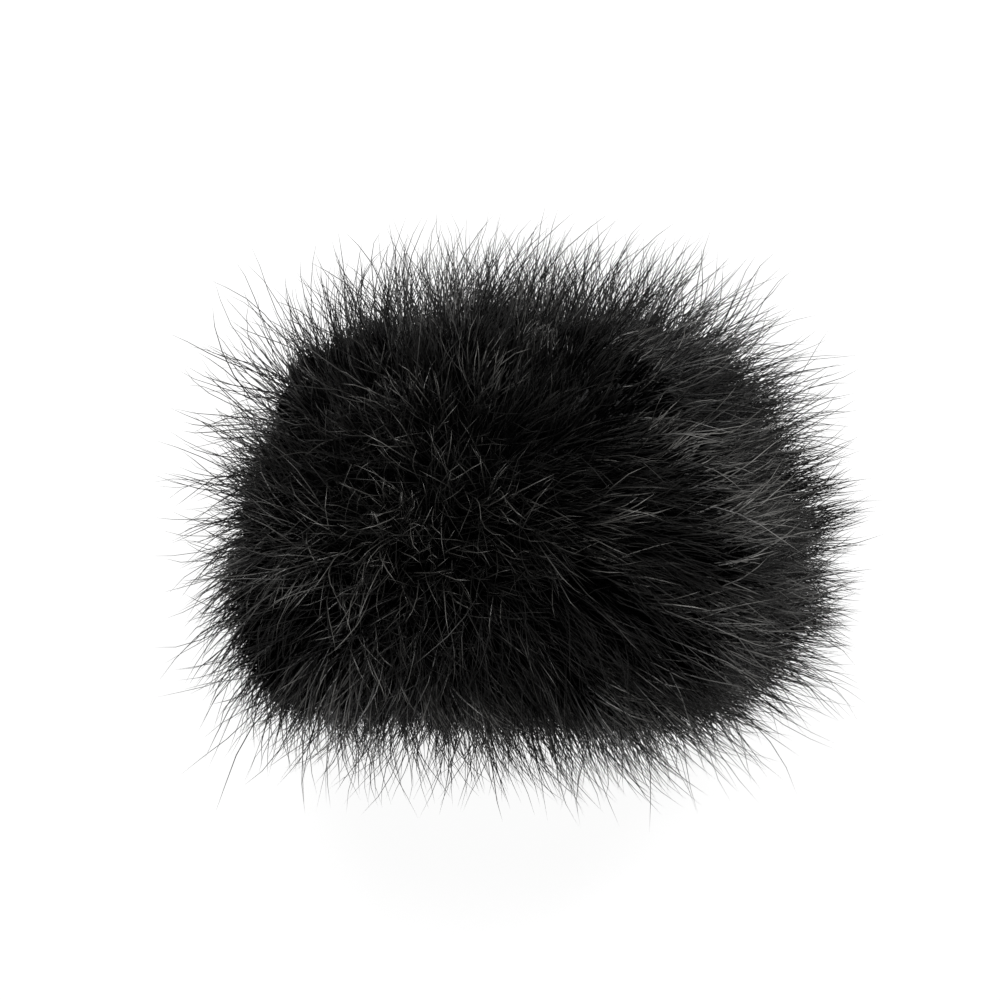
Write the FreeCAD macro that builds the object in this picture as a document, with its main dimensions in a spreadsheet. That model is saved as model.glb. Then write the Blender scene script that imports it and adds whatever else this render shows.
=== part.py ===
"""Furry slip-over windscreen for a pocket sound recorder.

A foam core with a rubber-collared pocket stands mouth down on its base, and a sewn fur cover slips over it.
The cover is built in layers that are true offsets of the pocket: slip lining, seam tape, knit backing, pile.
Origin at the middle of the mouth, +Z up to the crown, +X along the wide side, -Y the front.  Millimetres.
"""
import FreeCAD, Part
import os

import Sketcher

doc = FreeCAD.newDocument("FurryWindscreen")
sizes = doc.addObject("Spreadsheet::Sheet", "sizes")

DRIVING_SIZES = [
    ("pocket_width", 44.0, "recorder pocket, along X"),
    ("pocket_thick", 32.0, "recorder pocket, along Y"),
    ("pocket_corner", 10.0, "radius of the pocket's upright corners"),
    ("pocket_depth", 52.0, "mouth to the end of the pocket"),
    ("pocket_end_bevel", 3.0, "bevel round the end of the pocket"),
    ("foam_wall", 6.0, "foam beside the pocket"),
    ("foam_roof", 9.0, "foam over the pocket"),
    ("foam_shoulder", 10.0, "radius from the foam's sides to its crown"),
    ("crown_arc_wide", 50.0, "radius of the foam's crown, seen from the front"),
    ("crown_arc_narrow", 40.0, "radius of the foam's crown, seen from the side"),
    ("foam_foot", 1.2, "bevel round the foot of the foam"),
    ("collar_wall", 2.4, "rubber collar wall"),
    ("collar_height", 14.0, "rubber collar height"),
    ("collar_lead", 1.2, "lead-in chamfer of the collar's mouth"),
    ("rib_rise", 0.8, "how far each grip rib stands into the pocket"),
    ("rib_width", 1.6, "grip rib, along Z"),
    ("rib_first", 3.8, "mouth to the first grip rib"),
    ("rib_pitch", 4.6, "grip rib spacing"),
    ("slip_gap", 0.3, "foam to cover, all over"),
    ("seat_gap", 0.15, "between sewn layers that touch"),
    ("lining_thick", 0.8, "slip lining"),
    ("tape_thick", 0.8, "seam tape and crown patch"),
    ("tape_width", 9.0, "seam tape"),
    ("patch_diameter", 11.0, "crown patch"),
    ("backing_thick", 1.2, "knit backing of the fur"),
    ("pile_rise", 10.45, "dense pile on the sides, backing to tips"),
    ("pile_flat", 2.0, "straight run that the pile's round back leaves on each side"),
    ("pile_lay", 2.0, "how much lower and rounder the combed pile lies over the crown"),
    ("pile_bevel", 11.5, "bevel round the shoulders of the pile"),
    ("pile_foot", 4.0, "bevel round the foot of the pile"),
    ("seam_angle", 38.0, "seam direction from X, in degrees"),
    ("seam_gap", 0.2, "between neighbouring gores"),
    ("hem_height", 9.5, "hem tunnel, along Z"),
    ("hem_wall", 0.5, "cloth of the hem tunnel"),
    ("elastic_width", 6.0, "flat hem elastic, along Z"),
    ("elastic_thick", 1.1, "flat hem elastic"),
    ("elastic_play", 0.2, "elastic to the tunnel's walls"),
    ("elastic_butt", 0.4, "gap between the elastic's ends"),
    ("tab_length", 12.0, "tab sewn over the elastic's ends"),
    ("tab_thick", 0.4, "tab sewn over the elastic's ends"),
    ("cutter_reach", 80.0, "half size of the tools that part the gores"),
]


def fill_sheet():
    """Write each driving size with its alias and its meaning."""
    for row, (alias, number, meaning) in enumerate(DRIVING_SIZES, start=1):
        sizes.set("A%d" % row, alias)
        sizes.set("B%d" % row, str(number))
        sizes.setAlias("B%d" % row, alias)
        sizes.set("C%d" % row, meaning)
    doc.recompute()


def value(expression):
    """The number that an expression over the sheet has now."""
    return float(sizes.evalExpression(expression))


# How far each surface stands outside the pocket's wall.
POCKET = "0"
RIB_TIP = "-sizes.rib_rise"
COLLAR_OUT = "sizes.collar_wall"
RECESS = COLLAR_OUT + " + sizes.seat_gap"
FOAM_OUT = "sizes.foam_wall"
LINING_IN = FOAM_OUT + " + sizes.slip_gap"
LINING_OUT = LINING_IN + " + sizes.lining_thick"
TAPE_IN = LINING_OUT + " + sizes.seat_gap"
TAPE_OUT = TAPE_IN + " + sizes.tape_thick"
BACKING_IN = TAPE_OUT + " + sizes.seat_gap"
BACKING_OUT = BACKING_IN + " + sizes.backing_thick"
PILE_IN = BACKING_OUT + " + sizes.seat_gap"
PILE_OUT = PILE_IN + " + sizes.pile_rise"
BACK_ROOM = "min(sizes.pocket_width / 2 - sizes.pocket_corner; sizes.pocket_thick - 2 * sizes.pocket_corner)"
BACK_EXTRA = BACK_ROOM + " - sizes.pile_flat"
TUNNEL_IN = LINING_IN
TUNNEL_OUT = BACKING_OUT
CHANNEL_IN = TUNNEL_IN + " + sizes.hem_wall"
CHANNEL_OUT = TUNNEL_OUT + " - sizes.hem_wall"
ELASTIC_IN = CHANNEL_IN + " + sizes.elastic_play"
ELASTIC_OUT = ELASTIC_IN + " + sizes.elastic_thick"

FAR = "sizes.cutter_reach"
COS_SEAM = "cos(sizes.seam_angle * 1 deg)"
SIN_SEAM = "sin(sizes.seam_angle * 1 deg)"
TABLE = "0"
OVER_HEM = "sizes.hem_height + sizes.seat_gap"
ELASTIC_FOOT = "sizes.hem_wall + sizes.seat_gap"


def crown_of(reach):
    """Height of the crown of the surface that stands this far outside the pocket."""
    return "sizes.pocket_depth + sizes.foam_roof - sizes.foam_wall + (%s)" % reach


def shoulder_of(reach):
    """Radius between that surface's sides and its crown."""
    return "sizes.foam_shoulder - sizes.foam_wall + (%s)" % reach


def crown_arc_of(wide, reach):
    """Radius of that surface's crown, seen from the front or from the side."""
    arc = "sizes.crown_arc_wide" if wide else "sizes.crown_arc_narrow"
    return "%s - sizes.foam_wall + (%s)" % (arc, reach)


def new_body(name):
    """An empty body whose label is the sub-part's name."""
    body = doc.addObject("PartDesign::Body", name)
    body.Label = name
    return body


def plane_of(body, role):
    """One of the body's own origin planes or axes."""
    return [feature for feature in body.Origin.OriginFeatures if feature.Role == role][0]


def flat_sketch(body, name, level):
    """A sketch parallel to the table at the given height."""
    sketch = body.newObject("Sketcher::SketchObject", name)
    sketch.AttachmentSupport = [(plane_of(body, "XY_Plane"), "")]
    sketch.MapMode = "FlatFace"
    sketch.setExpression("AttachmentOffset.Base.z", level)
    return sketch


def bind(sketch, constraint, expression):
    """Add a dimension and tie it to the sheet."""
    index = sketch.addConstraint(constraint)
    sketch.setExpression("Constraints[%d]" % index, expression)


def add_arc(sketch, centre, radius, start, finish):
    """Draw an arc about a pair of coordinates, anticlockwise between two angles."""
    circle = Part.Circle(FreeCAD.Vector(centre[0], centre[1], 0), FreeCAD.Vector(0, 0, 1), radius)
    return sketch.addGeometry(Part.ArcOfCircle(circle, start, finish), False)


def add_outline(sketch, reach, extra="0"):
    """The pocket's rounded rectangle, offset outward by reach, its back corners rounder by extra."""
    x = value("sizes.pocket_width / 2 - sizes.pocket_corner")
    y = value("sizes.pocket_thick / 2 - sizes.pocket_corner")
    front_rule = "sizes.pocket_corner + (%s)" % reach
    back_rule = "%s + %s" % (front_rule, extra)
    front = value(front_rule)
    back = value(back_rule)
    more = value(extra)
    quarter = value("pi / 2")
    corners = ((x - more, y - more, back), (more - x, y - more, back), (-x, -y, front), (x, -y, front))
    arcs = []
    for turn, (across, along, radius) in enumerate(corners):
        arcs.append(add_arc(sketch, (across, along), radius, turn * quarter, (turn + 1) * quarter))
    sides = []
    for turn in range(4):
        start = sketch.getPoint(arcs[turn], 2)
        finish = sketch.getPoint(arcs[(turn + 1) % 4], 1)
        sides.append(sketch.addGeometry(Part.LineSegment(start, finish), False))
    for turn in range(4):
        sketch.addConstraint(Sketcher.Constraint("Tangent", arcs[turn], 2, sides[turn], 1))
        sketch.addConstraint(Sketcher.Constraint("Tangent", sides[turn], 2, arcs[(turn + 1) % 4], 1))
    for turn, name in ((1, "Vertical"), (2, "Horizontal"), (3, "Vertical")):
        sketch.addConstraint(Sketcher.Constraint(name, sides[turn]))
    sketch.addConstraint(Sketcher.Constraint("Equal", arcs[0], arcs[1]))
    sketch.addConstraint(Sketcher.Constraint("Equal", arcs[2], arcs[3]))
    sketch.addConstraint(Sketcher.Constraint("Symmetric", arcs[0], 3, arcs[1], 3, -2))
    bind(sketch, Sketcher.Constraint("Radius", arcs[0], back), back_rule)
    bind(sketch, Sketcher.Constraint("Radius", arcs[2], front), front_rule)
    across = Sketcher.Constraint("DistanceX", arcs[2], 3, arcs[3], 3, 2 * x)
    bind(sketch, across, "sizes.pocket_width - 2 * sizes.pocket_corner")
    forward = Sketcher.Constraint("DistanceY", arcs[3], 3, -1, 1, y)
    bind(sketch, forward, "sizes.pocket_thick / 2 - sizes.pocket_corner")
    along = Sketcher.Constraint("DistanceY", arcs[3], 3, arcs[0], 3, 2 * y - more)
    bind(sketch, along, "sizes.pocket_thick - 2 * sizes.pocket_corner - (%s)" % extra)


def add_arch_waste(sketch, wide, reach, lay):
    """All that lies over the crown of one offset surface, as seen along one level axis."""
    side = "sizes.pocket_width" if wide else "sizes.pocket_thick"
    shoulder_x = "%s / 2 + sizes.foam_wall - sizes.foam_shoulder - %s" % (side, lay)
    small_rule = "%s + %s" % (shoulder_of(reach), lay)
    top_rule = "%s - %s" % (crown_of(reach), lay)
    small = value(small_rule)
    large = value(crown_arc_of(wide, reach))
    top = value(top_rule)
    far = value(FAR)
    x = value(shoulder_x)
    rise = ((large - small) ** 2 - x**2) ** 0.5
    level = top - large + rise
    over = top + far
    joint = FreeCAD.Vector(x, rise, 0).getAngle(FreeCAD.Vector(1, 0, 0))
    half_turn = value("pi")
    right = add_arc(sketch, (x, level), small, 0, joint)
    crown = add_arc(sketch, (0, top - large), large, joint, half_turn - joint)
    left = add_arc(sketch, (-x, level), small, half_turn - joint, half_turn)
    right_half = [(x + small, level), (far, level), (far, over)]
    corners = right_half + [(-across, up) for across, up in reversed(right_half)]
    points = [FreeCAD.Vector(across, up, 0) for across, up in corners]
    frame = [sketch.addGeometry(Part.LineSegment(a, b), False) for a, b in zip(points, points[1:])]
    sketch.addConstraint(Sketcher.Constraint("Tangent", right, 2, crown, 1))
    sketch.addConstraint(Sketcher.Constraint("Tangent", crown, 2, left, 1))
    sketch.addConstraint(Sketcher.Constraint("Perpendicular", frame[0], 1, right, 1))
    sketch.addConstraint(Sketcher.Constraint("Perpendicular", frame[4], 2, left, 2))
    for first, second in zip(frame, frame[1:]):
        sketch.addConstraint(Sketcher.Constraint("Coincident", first, 2, second, 1))
    for index, name in ((0, "Horizontal"), (1, "Vertical"), (3, "Vertical"), (4, "Horizontal")):
        sketch.addConstraint(Sketcher.Constraint(name, frame[index]))
    sketch.addConstraint(Sketcher.Constraint("Equal", right, left))
    sketch.addConstraint(Sketcher.Constraint("Symmetric", right, 3, left, 3, -2))
    sketch.addConstraint(Sketcher.Constraint("Symmetric", frame[2], 1, frame[2], 2, -2))
    bind(sketch, Sketcher.Constraint("Radius", right, small), small_rule)
    bind(sketch, Sketcher.Constraint("Radius", crown, large), crown_arc_of(wide, reach))
    bind(sketch, Sketcher.Constraint("DistanceX", -1, 1, right, 3, x), shoulder_x)
    centre_rule = "%s - (%s)" % (top_rule, crown_arc_of(wide, reach))
    bind(sketch, Sketcher.Constraint("DistanceY", -1, 1, crown, 3, top - large), centre_rule)
    bind(sketch, Sketcher.Constraint("DistanceX", -1, 1, frame[2], 1, far), FAR)
    over_rule = "%s + %s" % (top_rule, FAR)
    bind(sketch, Sketcher.Constraint("DistanceY", -1, 1, frame[2], 1, over), over_rule)


def add_polygon(sketch, corners):
    """A closed polygon whose corners are pairs of expressions."""
    points = [FreeCAD.Vector(value(x), value(y), 0) for x, y in corners]
    sides = []
    for index, start in enumerate(points):
        finish = points[(index + 1) % len(points)]
        sides.append(sketch.addGeometry(Part.LineSegment(start, finish), False))
    for index, side in enumerate(sides):
        following = sides[(index + 1) % len(sides)]
        sketch.addConstraint(Sketcher.Constraint("Coincident", side, 2, following, 1))
    for side, point, (x, y) in zip(sides, points, corners):
        bind(sketch, Sketcher.Constraint("DistanceX", -1, 1, side, 1, point.x), x)
        bind(sketch, Sketcher.Constraint("DistanceY", -1, 1, side, 1, point.y), y)


def outline(body, name, reach, level, extra="0"):
    """A sketch that holds one offset outline."""
    sketch = flat_sketch(body, name, level)
    add_outline(sketch, reach, extra)
    return sketch


def ring(body, name, inner, outer, level):
    """A sketch that holds two offset outlines, one inside the other."""
    sketch = flat_sketch(body, name, level)
    add_outline(sketch, outer)
    add_outline(sketch, inner)
    return sketch


def polygon(body, name, corners, level=TABLE):
    """A sketch that holds one polygon."""
    sketch = flat_sketch(body, name, level)
    add_polygon(sketch, corners)
    return sketch


def pad(body, name, sketch, length):
    """Raise a sketch upward."""
    feature = body.newObject("PartDesign::Pad", name)
    feature.Profile = sketch
    feature.setExpression("Length", length)
    doc.recompute()
    return feature


def pocket(body, name, sketch, length, through_middle=False):
    """Cut a sketch upward, or to both sides of its plane, and make sure that it did cut."""
    before = body.Shape.Volume
    feature = body.newObject("PartDesign::Pocket", name)
    feature.Profile = sketch
    feature.Reversed = not through_middle
    feature.Midplane = through_middle
    feature.setExpression("Length", length)
    doc.recompute()
    if body.Shape.Volume >= before:
        raise RuntimeError(name + " cuts nothing")
    return feature


def bevel_loop(body, name, height, choose, size):
    """Chamfer the largest or smallest loop of the flat face at one height."""
    base = body.Tip
    feature = body.newObject("PartDesign::Chamfer", name)
    feature.Base = (base, loop_at(base.Shape, value(height), choose))
    feature.setExpression("Size", size)
    doc.recompute()
    return feature


def face_at(shape, height):
    """Name of the largest flat face at one height."""
    names = {}
    for index, face in enumerate(shape.Faces, start=1):
        box = face.BoundBox
        if box.ZLength < 1e-4 and abs(box.ZMin - height) < 1e-4:
            names["Face%d" % index] = box.DiagonalLength
    return max(names, key=names.get)


def loop_at(shape, height, choose):
    """Names of the edges of the largest or smallest loop of the flat face at one height."""
    face = shape.getElement(face_at(shape, height))
    return names_of(shape, choose(face.Wires, key=lambda wire: wire.BoundBox.DiagonalLength))


def names_of(shape, wire):
    """Names that the shape gives to the edges of one of its wires."""
    names = []
    for index, edge in enumerate(shape.Edges, start=1):
        if any(edge.isSame(other) for other in wire.Edges):
            names.append("Edge%d" % index)
    return names


def arched_block(body, reach, foot, extra="0", lay="0"):
    """A rounded block under a crown that arches both ways: one offset of the recorder's pocket."""
    rise = "(%s) - (%s)" % (crown_of(reach), foot)
    pad(body, body.Name + "_blank", outline(body, body.Name + "_outside", reach, foot, extra), rise)
    for wide, role in ((True, "XZ_Plane"), (False, "YZ_Plane")):
        name = "%s_arch_%s" % (body.Name, "wide" if wide else "narrow")
        sketch = body.newObject("Sketcher::SketchObject", name + "_outline")
        sketch.AttachmentSupport = [(plane_of(body, role), "")]
        sketch.MapMode = "FlatFace"
        add_arch_waste(sketch, wide, reach, lay)
        pocket(body, name, sketch, "2 * " + FAR, through_middle=True)


def arched_form(name, reach, foot):
    """An arched block that only shapes other pieces."""
    body = new_body(name)
    arched_block(body, reach, foot)
    return body


def boolean(kind, name, base, tool):
    """A Part::Cut or Part::Common of two objects."""
    result = doc.addObject("Part::" + kind, name)
    result.Label = name
    result.Base = base
    result.Tool = tool
    doc.recompute()
    return result


def make_layer(name, inner, outer, foot):
    """One even layer of the cover, in one piece, open at the foot."""
    outside = arched_form(name + "_outside", outer, foot)
    inside = arched_form(name + "_inside", inner, foot)
    return boolean("Cut", name + "_layer", outside, inside)


def make_pile_cone():
    """Cone, upright over the round back, that bevels the shoulders of the pile."""
    cone = doc.addObject("Part::Cone", "pile_cone")
    top = "(%s)" % crown_of(PILE_OUT)
    foot = "sizes.pocket_width / 2 + %s + %s - sizes.pile_lay - sizes.pile_bevel" % (PILE_OUT, top)
    cone.setExpression("Radius1", foot)
    cone.setExpression("Radius2", "%s - %s" % (foot, top))
    cone.setExpression("Height", top)
    middle = "sizes.pocket_thick / 2 - sizes.pocket_corner - (%s)" % BACK_EXTRA
    cone.setExpression("Placement.Base.y", middle)
    return cone


def make_pile_layer():
    """The dense pile in one piece: rounder at the back, bevelled at its shoulders and its foot."""
    full = new_body("pile_full")
    arched_block(full, PILE_OUT, TABLE, BACK_EXTRA, "sizes.pile_lay")
    bevel_loop(full, "pile_foot", TABLE, max, "sizes.pile_foot")
    outside = boolean("Common", "pile_outside", full, make_pile_cone())
    inside = arched_form("pile_inside", PILE_IN, TABLE)
    return boolean("Cut", "pile_layer", outside, inside)


def make_cutter(name, corners):
    """An upright prism that picks one piece out of a layer."""
    body = new_body(name)
    pad(body, name + "_prism", polygon(body, name + "_outline", corners), "2 * " + FAR)
    return body


def gore_wedge(side):
    """Corners of the wedge between two seams that one gore fills."""
    if side in ("front", "back"):
        sign = {"front": "-1", "back": "1"}[side]
        near = "sizes.seam_gap / (2 * %s)" % COS_SEAM
        seam = "%s * (%s + %s * %s / %s)" % (sign, near, FAR, SIN_SEAM, COS_SEAM)
        return [("0", "%s * %s" % (sign, near)), (FAR, seam), ("-" + FAR, seam)]
    sign = {"left": "-1", "right": "1"}[side]
    near = "sizes.seam_gap / (2 * %s)" % SIN_SEAM
    seam = "%s * (%s + %s * %s / %s)" % (sign, near, FAR, COS_SEAM, SIN_SEAM)
    return [("%s * %s" % (sign, near), "0"), (seam, FAR), (seam, "-" + FAR)]


def lining_half(side):
    """Corners of the half plan that one lining piece fills."""
    sign = {"front": "-1", "back": "1"}[side]
    near = "%s * sizes.seam_gap / 2" % sign
    far = "%s * %s" % (sign, FAR)
    return [("-" + FAR, near), (FAR, near), (FAR, far), ("-" + FAR, far)]


def tape_strip(front_back, left_right):
    """Corners of the strip along one seam, starting clear of the crown patch and of the next strip."""
    along_x = "%s * %s" % ({"left": "-1", "right": "1"}[left_right], COS_SEAM)
    along_y = "%s * %s" % ({"front": "-1", "back": "1"}[front_back], SIN_SEAM)
    half = "sizes.tape_width / 2"
    past_patch = "sizes.patch_diameter / 2 + sizes.seat_gap"
    past_next_tape = "%s * %s / %s + sizes.seam_gap" % (half, COS_SEAM, SIN_SEAM)
    start = "max(%s; %s)" % (past_patch, past_next_tape)
    corners = []
    for reach, side in ((start, "-1"), (FAR, "-1"), (FAR, "1"), (start, "1")):
        x = "%s * %s - %s * %s * %s" % (reach, along_x, side, half, along_y)
        y = "%s * %s + %s * %s * %s" % (reach, along_y, side, half, along_x)
        corners.append((x, y))
    return corners


def make_gores():
    """Long pile and knit ground of the four gores."""
    backing = make_layer("backing", BACKING_IN, BACKING_OUT, OVER_HEM)
    layers = {"pile": make_pile_layer(), "backing": backing}
    made = []
    for side in ("front", "back", "left", "right"):
        wedge = make_cutter("gore_wedge_" + side, gore_wedge(side))
        made += [boolean("Common", "%s_%s" % (name, side), layer, wedge) for name, layer in layers.items()]
    return made


def make_linings():
    """Two halves of the slip lining, parted along the wide middle."""
    layer = make_layer("lining", LINING_IN, LINING_OUT, OVER_HEM)
    made = []
    for side in ("front", "back"):
        half = make_cutter("lining_half_" + side, lining_half(side))
        made.append(boolean("Common", "lining_" + side, layer, half))
    return made


def make_seam_tapes():
    """Binding tapes over the four seams, and the round patch between their ends at the crown."""
    layer = make_layer("tape", TAPE_IN, TAPE_OUT, OVER_HEM)
    made = []
    for front_back in ("front", "back"):
        for left_right in ("left", "right"):
            place = "%s_%s" % (front_back, left_right)
            strip = make_cutter("tape_strip_" + place, tape_strip(front_back, left_right))
            made.append(boolean("Common", "seam_tape_" + place, layer, strip))
    punch = doc.addObject("Part::Cylinder", "patch_punch")
    punch.setExpression("Radius", "sizes.patch_diameter / 2")
    punch.setExpression("Height", "2 * " + FAR)
    made.append(boolean("Common", "crown_patch", layer, punch))
    return made


def make_hem_tunnel():
    """Folded casing round the mouth: a channel, open upward, that the elastic lies in."""
    body = new_body("hem_tunnel")
    band = ring(body, "hem_tunnel_outline", TUNNEL_IN, TUNNEL_OUT, TABLE)
    pad(body, "hem_tunnel_band", band, "sizes.hem_height")
    channel = ring(body, "hem_tunnel_channel_outline", CHANNEL_IN, CHANNEL_OUT, "sizes.hem_wall")
    pocket(body, "hem_tunnel_channel", channel, "sizes.hem_height")
    return body


def make_hem_elastic():
    """Flat elastic round the mouth, its ends butted at the middle of the back."""
    body = new_body("hem_elastic")
    band = ring(body, "hem_elastic_outline", ELASTIC_IN, ELASTIC_OUT, ELASTIC_FOOT)
    pad(body, "hem_elastic_band", band, "sizes.elastic_width")
    half = "sizes.elastic_butt / 2"
    corners = [("-" + half, "0"), (half, "0"), (half, FAR), ("-" + half, FAR)]
    pocket(body, "hem_elastic_butt", polygon(body, "hem_elastic_butt_outline", corners), FAR)
    return body


def make_elastic_tab():
    """Tab sewn over the butted ends of the elastic."""
    body = new_body("elastic_tab")
    half = "sizes.tab_length / 2"
    near = "sizes.pocket_thick / 2 + " + ELASTIC_OUT
    far = near + " + sizes.tab_thick"
    corners = [("-" + half, near), (half, near), (half, far), ("-" + half, far)]
    sketch = polygon(body, "elastic_tab_outline", corners, ELASTIC_FOOT)
    pad(body, "elastic_tab_strip", sketch, "sizes.elastic_width")
    return body


def make_foam_core():
    """Open-cell foam body with the recorder's pocket and a seat for the collar."""
    body = new_body("foam_core")
    arched_block(body, FOAM_OUT, TABLE)
    bevel_loop(body, "foam_core_foot", TABLE, max, "sizes.foam_foot")
    room = outline(body, "foam_core_pocket_outline", POCKET, TABLE)
    pocket(body, "foam_core_pocket", room, "sizes.pocket_depth")
    bevel_loop(body, "foam_core_pocket_end", "sizes.pocket_depth", max, "sizes.pocket_end_bevel")
    seat = outline(body, "foam_core_seat_outline", RECESS, TABLE)
    pocket(body, "foam_core_collar_seat", seat, "sizes.collar_height + sizes.seat_gap")
    return body


def make_grip_collar():
    """Rubber collar in the pocket's mouth, with a lead-in and two grip ribs."""
    body = new_body("grip_collar")
    wall = ring(body, "grip_collar_outline", POCKET, COLLAR_OUT, TABLE)
    pad(body, "grip_collar_wall", wall, "sizes.collar_height")
    bevel_loop(body, "grip_collar_lead_in", TABLE, min, "sizes.collar_lead")
    root = "sizes.collar_wall / 2"
    band = ring(body, "grip_rib_outline", RIB_TIP, root, "sizes.rib_first")
    rib = pad(body, "grip_rib", band, "sizes.rib_width")
    ribs = body.newObject("PartDesign::LinearPattern", "grip_ribs")
    ribs.Originals = [rib]
    ribs.Direction = (rib.Profile[0], ["N_Axis"])
    ribs.Occurrences = 2
    ribs.setExpression("Length", "sizes.rib_pitch")
    body.Tip = ribs
    doc.recompute()
    return body


def make_all():
    """Every sub-part, from the pocket outward."""
    made = [make_foam_core(), make_grip_collar()]
    made += make_linings() + make_seam_tapes() + make_gores()
    made += [make_hem_tunnel(), make_hem_elastic(), make_elastic_tab()]
    return made


def check_and_write(bodies):
    """Stop on any failed object, then write one STEP file for each sub-part."""
    doc.recompute()
    for item in doc.Objects:
        if "Invalid" in item.State or "Error" in item.State:
            raise RuntimeError("%s failed: %s" % (item.Name, item.State))
    os.makedirs("parts", exist_ok=True)
    for body in bodies:
        shape = body.Shape
        if shape.isNull() or not shape.isValid() or len(shape.Solids) != 1:
            raise RuntimeError(body.Label + " is not one valid solid")
        shape.exportStep("parts/%s.step" % body.Label)
        box = shape.BoundBox
        extent = (box.XLength, box.YLength, box.ZMin, box.ZMax)
        print("%-24s %9.1f mm3  %6.2f x %6.2f, z %6.2f to %6.2f" % ((body.Label, shape.Volume) + extent))


fill_sheet()
check_and_write(make_all())
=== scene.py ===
"""Looks of a furry slip-over windscreen for a pocket sound recorder.

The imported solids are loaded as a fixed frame.  Hair stands in for the four solid blocks of pile, cut foam
for the foam block and a gathered casing for the plain hem.  Every other piece keeps its own solid and gets
a finish.  Metres; +Z up to the crown, +X along the wide side, -Y the front.
"""
import logging
import math
from collections.abc import Mapping, Sequence
from dataclasses import dataclass
from enum import Enum
from functools import cache

import bmesh
import bpy
from mathutils import Matrix, Vector


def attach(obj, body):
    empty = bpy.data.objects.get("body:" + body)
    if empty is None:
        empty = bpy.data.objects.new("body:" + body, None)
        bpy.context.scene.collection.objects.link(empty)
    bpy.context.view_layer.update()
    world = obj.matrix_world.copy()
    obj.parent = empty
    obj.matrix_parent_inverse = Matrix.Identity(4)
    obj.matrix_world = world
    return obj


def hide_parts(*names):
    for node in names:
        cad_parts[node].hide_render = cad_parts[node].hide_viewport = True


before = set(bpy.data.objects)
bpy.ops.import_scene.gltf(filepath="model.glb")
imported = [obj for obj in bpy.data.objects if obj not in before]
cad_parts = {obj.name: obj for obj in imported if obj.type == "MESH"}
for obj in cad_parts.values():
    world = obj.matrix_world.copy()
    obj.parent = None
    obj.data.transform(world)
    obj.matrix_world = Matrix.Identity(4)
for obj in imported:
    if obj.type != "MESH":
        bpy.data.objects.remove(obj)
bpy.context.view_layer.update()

LOG = logging.getLogger("furry_windscreen")
MM = 0.001
SAME_PLACE = 1e-6

Tree, Piece, Mesh = bpy.types.NodeTree, bpy.types.Object, bpy.types.Mesh
Material, Socket = bpy.types.Material, bpy.types.NodeSocket
Feed = Socket | float | int | bool | str | Sequence[float]
Triple = tuple[float, float, float]
Colour = tuple[float, float, float, float]


class Side(Enum):
    """The four gores of the cover, each named for the way it faces."""

    FRONT = "front"
    BACK = "back"
    LEFT = "left"
    RIGHT = "right"

    def holds(self, x: float, y: float, seam: float) -> bool:
        """Tell whether a place lies between this gore's two seams.

        Args:
            x: place along the wide side.
            y: place along the narrow side.
            seam: direction of the seams from the X axis, in radians.

        Returns:
            True where the place belongs to this gore.
        """
        if abs(y) * math.cos(seam) > abs(x) * math.sin(seam):
            return self is (Side.BACK if y > 0 else Side.FRONT)
        return self is (Side.RIGHT if x > 0 else Side.LEFT)


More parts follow.
